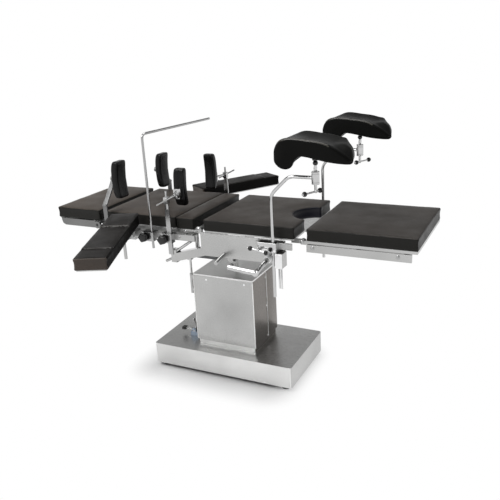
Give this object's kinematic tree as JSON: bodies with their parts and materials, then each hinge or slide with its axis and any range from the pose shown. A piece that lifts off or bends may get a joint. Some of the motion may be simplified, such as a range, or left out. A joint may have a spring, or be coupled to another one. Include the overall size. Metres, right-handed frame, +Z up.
{
  "type": "operating table",
  "caption": "Hydraulic operating table: lifting column, hinged head, back, seat and leg sections, kidney bridge, arm boards, screen, shoulder and body supports, knee crutches.",
  "frame": {"origin": "on the floor, under the middle of the whole object's box", "axes": "+X from the head end to the leg end, +Y from the crank side to the far side, +Z up"},
  "size_m": [1.892, 1.6656, 1.2885],
  "materials": {
    "stainless": "brushed",
    "casting": "satin",
    "chrome": "polished",
    "black_plastic": "satin",
    "cushion_vinyl": "satin vinyl",
    "black_pad": "glossy vinyl"
  },
  "bodies": {
    "base": {"base_plate": "casting", "base_cover": "stainless", "column_skirt": "stainless", "hydraulic_cylinder": "casting"},
    "pump_pedal": {"pump_pedal": "black_plastic"},
    "release_pedal": {"release_pedal": "chrome"},
    "lifting_column": {"column_cover": "stainless", "column_head": "casting", "piston_rod": "chrome", "tilt_jack_tube": "casting"},
    "carriage": {"tilt_carriage": "casting"},
    "tilt_jack_rod": {"tilt_jack_rod": "chrome"},
    "seat": {"side_panel_front": "stainless", "side_panel_rear": "stainless", "seat_frame": "casting", "seat_cushion": "cushion_vinyl", "gearbox": "stainless", "back_jack": "stainless", "crutch_clamp_front": "chrome", "crutch_clamp_rear": "chrome"},
    "crank": {"crank_handle": "chrome"},
    "back": {"back_frame": "stainless", "back_cushion": "cushion_vinyl", "arm_clamp_front": "chrome", "arm_clamp_rear": "chrome", "screen_clamp": "chrome", "shoulder_bar_front": "chrome", "shoulder_bar_rear": "chrome", "body_clamp_front": "chrome", "body_clamp_rear": "chrome"},
    "kidney_bridge": {"kidney_bridge": "stainless", "kidney_cushion": "cushion_vinyl"},
    "head": {"head_frame": "stainless", "head_cushion": "cushion_vinyl"},
    "leg": {"leg_frame": "stainless", "leg_cushion": "cushion_vinyl"},
    "screen_rod": {"screen_rod": "chrome"},
    "screen_knob": {"screen_knob": "black_plastic"},
    "arm_board_front": {"arm_plate_front": "stainless", "arm_cushion_front": "cushion_vinyl"},
    "shoulder_pad_front": {"shoulder_pad_front": "black_pad"},
    "body_knob_front": {"body_knob_front": "black_plastic"},
    "body_post_front": {"body_post_front": "chrome"},
    "body_arm_front": {"body_arm_front": "chrome"},
    "body_pad_front": {"body_pad_front": "black_pad"},
    "crutch_rod_front": {"crutch_rod_front": "chrome"},
    "crutch_pad_front": {"crutch_pad_front": "black_pad"},
    "crutch_handle_front": {"crutch_handle_front": "chrome"},
    "clamp_handle_front": {"clamp_handle_front": "chrome"},
    "arm_board_rear": {"arm_plate_rear": "stainless", "arm_cushion_rear": "cushion_vinyl"},
    "shoulder_pad_rear": {"shoulder_pad_rear": "black_pad"},
    "body_knob_rear": {"body_knob_rear": "black_plastic"},
    "body_post_rear": {"body_post_rear": "chrome"},
    "body_arm_rear": {"body_arm_rear": "chrome"},
    "body_pad_rear": {"body_pad_rear": "black_pad"},
    "crutch_rod_rear": {"crutch_rod_rear": "chrome"},
    "crutch_pad_rear": {"crutch_pad_rear": "black_pad"},
    "crutch_handle_rear": {"crutch_handle_rear": "chrome"},
    "clamp_handle_rear": {"clamp_handle_rear": "chrome"}
  },
  "joints": [
    {"name": "pump_pedal_press", "type": "hinge", "parent": "base", "child": "pump_pedal", "pos_m": [-0.275, 0.02418, 0.168], "axis": [0, 1, 0], "range_deg": [-14, 0], "stiffness_Nm_per_rad": 12},
    {"name": "release_pedal_rock", "type": "hinge", "parent": "base", "child": "release_pedal", "pos_m": [-0.275, 0.02418, 0.168], "axis": [0, 1, 0], "range_deg": [-15, 15], "stiffness_Nm_per_rad": 4},
    {"name": "column_lift", "type": "slide", "parent": "base", "child": "lifting_column", "axis": [0, 0, 1], "range_m": [-0.02, 0.23]},
    {"name": "table_tilt", "type": "hinge", "parent": "lifting_column", "child": "carriage", "pos_m": [-0.041, 0.06618, 0.618], "axis": [0, -1, 0], "range_deg": [-20, 20]},
    {"name": "tilt_jack_slide", "type": "slide", "parent": "lifting_column", "child": "tilt_jack_rod", "axis": [0, 0, 1], "range_m": [-0.077, 0.077]},
    {"name": "table_roll", "type": "hinge", "parent": "carriage", "child": "seat", "pos_m": [-0.041, 0.06618, 0.664], "axis": [1, 0, 0], "range_deg": [-20, 20]},
    {"name": "crank_turn", "type": "hinge", "parent": "seat", "child": "crank", "pos_m": [0.292, -0.18182, 0.729], "axis": [0, -0.989, -0.1478], "continuous": true},
    {"name": "back_hinge", "type": "hinge", "parent": "seat", "child": "back", "pos_m": [-0.0855, 0.06618, 0.812], "axis": [0, 1, 0], "range_deg": [-10, 55]},
    {"name": "kidney_lift", "type": "slide", "parent": "back", "child": "kidney_bridge", "axis": [0, 0, 1], "range_m": [0, 0.1]},
    {"name": "head_hinge", "type": "hinge", "parent": "back", "child": "head", "pos_m": [-0.652, 0.06618, 0.7997], "axis": [0, 1, 0], "range_deg": [-90, 30]},
    {"name": "leg_hinge", "type": "hinge", "parent": "seat", "child": "leg", "pos_m": [0.4315, 0.06618, 0.7947], "axis": [0, 1, 0], "range_deg": [-15, 90]},
    {"name": "screen_slide", "type": "slide", "parent": "back", "child": "screen_rod", "axis": [0, 0, 1], "range_m": [-0.1, 0.03]},
    {"name": "screen_knob_turn", "type": "hinge", "parent": "back", "child": "screen_knob", "pos_m": [-0.363, -0.23382, 0.7687], "axis": [0, 1, 0], "continuous": true},
    {"name": "arm_swing_front", "type": "hinge", "parent": "back", "child": "arm_board_front", "pos_m": [-0.444, -0.29582, 0.8], "axis": [0, 0, 1], "range_deg": [-80, 30]},
    {"name": "shoulder_pad_turn_front", "type": "hinge", "parent": "back", "child": "shoulder_pad_front", "pos_m": [-0.59, -0.13382, 1.024], "axis": [1, 0, 0], "range_deg": [-25, 25]},
    {"name": "body_knob_turn_front", "type": "hinge", "parent": "back", "child": "body_knob_front", "pos_m": [-0.253, -0.23382, 0.7667], "axis": [0, 1, 0], "continuous": true},
    {"name": "body_post_slide_front", "type": "slide", "parent": "back", "child": "body_post_front", "axis": [0, 0, 1], "range_m": [-0.015, 0.05]},
    {"name": "body_arm_swing_front", "type": "hinge", "parent": "body_post_front", "child": "body_arm_front", "pos_m": [-0.227, -0.21812, 0.958], "axis": [0, 0, 1], "range_deg": [-20, 20]},
    {"name": "body_pad_turn_front", "type": "hinge", "parent": "body_arm_front", "child": "body_pad_front", "pos_m": [-0.243, -0.09412, 0.958], "axis": [0, 1, 0], "range_deg": [-15, 15]},
    {"name": "crutch_slide_front", "type": "slide", "parent": "seat", "child": "crutch_rod_front", "axis": [0, 0, 1], "range_m": [-0.1, 0.1]},
    {"name": "crutch_pad_tip_front", "type": "hinge", "parent": "crutch_rod_front", "child": "crutch_pad_front", "pos_m": [0.523, -0.21812, 1.166], "axis": [0, 1, 0], "range_deg": [-15, 25]},
    {"name": "crutch_handle_turn_front", "type": "hinge", "parent": "crutch_rod_front", "child": "crutch_handle_front", "pos_m": [0.523, -0.21812, 1.05], "axis": [0, 0, 1], "continuous": true},
    {"name": "clamp_handle_turn_front", "type": "hinge", "parent": "seat", "child": "clamp_handle_front", "pos_m": [0.261, -0.24382, 0.7697], "axis": [0, 1, 0], "continuous": true},
    {"name": "arm_swing_rear", "type": "hinge", "parent": "back", "child": "arm_board_rear", "pos_m": [-0.366, 0.42818, 0.8], "axis": [0, 0, -1], "range_deg": [-80, 30]},
    {"name": "shoulder_pad_turn_rear", "type": "hinge", "parent": "back", "child": "shoulder_pad_rear", "pos_m": [-0.588, 0.24818, 0.992], "axis": [1, 0, 0], "range_deg": [-25, 25]},
    {"name": "body_knob_turn_rear", "type": "hinge", "parent": "back", "child": "body_knob_rear", "pos_m": [-0.239, 0.36618, 0.7667], "axis": [0, 1, 0], "continuous": true},
    {"name": "body_post_slide_rear", "type": "slide", "parent": "back", "child": "body_post_rear", "axis": [0, 0, 1], "range_m": [-0.015, 0.05]},
    {"name": "body_arm_swing_rear", "type": "hinge", "parent": "body_post_rear", "child": "body_arm_rear", "pos_m": [-0.213, 0.35048, 0.958], "axis": [0, 0, -1], "range_deg": [-20, 20]},
    {"name": "body_pad_turn_rear", "type": "hinge", "parent": "body_arm_rear", "child": "body_pad_rear", "pos_m": [-0.243, 0.27648, 0.958], "axis": [0, 1, 0], "range_deg": [-15, 15]},
    {"name": "crutch_slide_rear", "type": "slide", "parent": "seat", "child": "crutch_rod_rear", "axis": [0, 0, 1], "range_m": [-0.1, 0.1]},
    {"name": "crutch_pad_tip_rear", "type": "hinge", "parent": "crutch_rod_rear", "child": "crutch_pad_rear", "pos_m": [0.543, 0.35048, 1.179], "axis": [0, 1, 0], "range_deg": [-15, 25]},
    {"name": "crutch_handle_turn_rear", "type": "hinge", "parent": "crutch_rod_rear", "child": "crutch_handle_rear", "pos_m": [0.543, 0.35048, 1.063], "axis": [0, 0, 1], "continuous": true},
    {"name": "clamp_handle_turn_rear", "type": "hinge", "parent": "seat", "child": "clamp_handle_rear", "pos_m": [0.294, 0.37618, 0.7697], "axis": [0, 1, 0], "continuous": true}
  ],
  "couplings": [
    {"joint": "tilt_jack_slide", "follows": "table_tilt", "m_per_rad": -0.2184}
  ]
}
